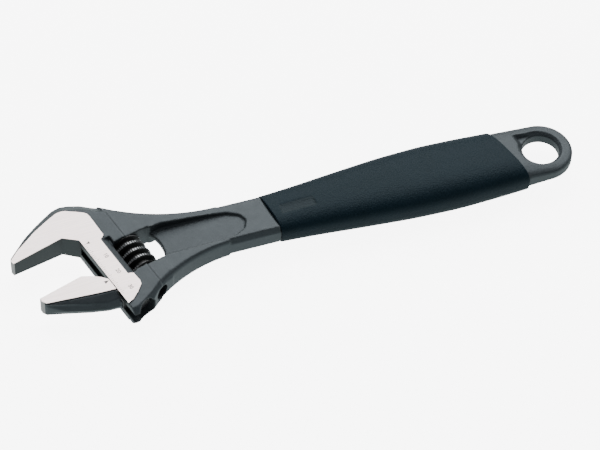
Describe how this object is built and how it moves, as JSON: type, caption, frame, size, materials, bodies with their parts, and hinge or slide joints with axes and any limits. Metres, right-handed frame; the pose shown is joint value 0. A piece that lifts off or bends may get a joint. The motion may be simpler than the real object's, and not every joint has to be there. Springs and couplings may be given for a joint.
{
  "type": "adjustable wrench",
  "caption": "Adjustable wrench with an angled head, worm-driven sliding jaw, moulded grip and hanging ring.",
  "frame": {"origin": "centre of the hanging hole on the middle plane of the tool", "axes": "+X along the handle from the head towards the hanging ring, +Z square to the faces along the hanging hole, +Y across the handle towards the fixed jaw side"},
  "size_m": [0.2569, 0.0676, 0.0178],
  "materials": {
    "forged_steel": "satin dark phosphate with ground bright lands",
    "jaw_steel": "ground lands over dark phosphate",
    "worm_steel": "oiled, bright crests",
    "pin_steel": "dark oiled",
    "spring_steel": "plain",
    "grip_plastic": "fine moulded grain"
  },
  "bodies": {
    "wrench": {"body": "forged_steel", "worm_pin": "pin_steel", "worm_spring": "spring_steel", "grip_sleeve": "grip_plastic"},
    "adjusting_worm": {"worm": "worm_steel"},
    "sliding_jaw": {"movable_jaw": "jaw_steel"}
  },
  "joints": [
    {"name": "jaw_slide", "type": "slide", "parent": "wrench", "child": "sliding_jaw", "axis": [-0.2588, 0.9659, 0], "range_m": [-0.009, 0.022]},
    {"name": "worm_spin", "type": "hinge", "parent": "wrench", "child": "adjusting_worm", "pos_m": [-0.19049, -0.00357, 0], "axis": [-0.2588, 0.9659, 0], "range_deg": [-771.5, 1885.8]}
  ],
  "couplings": [
    {"joint": "worm_spin", "follows": "jaw_slide", "rad_per_m": 1496}
  ]
}
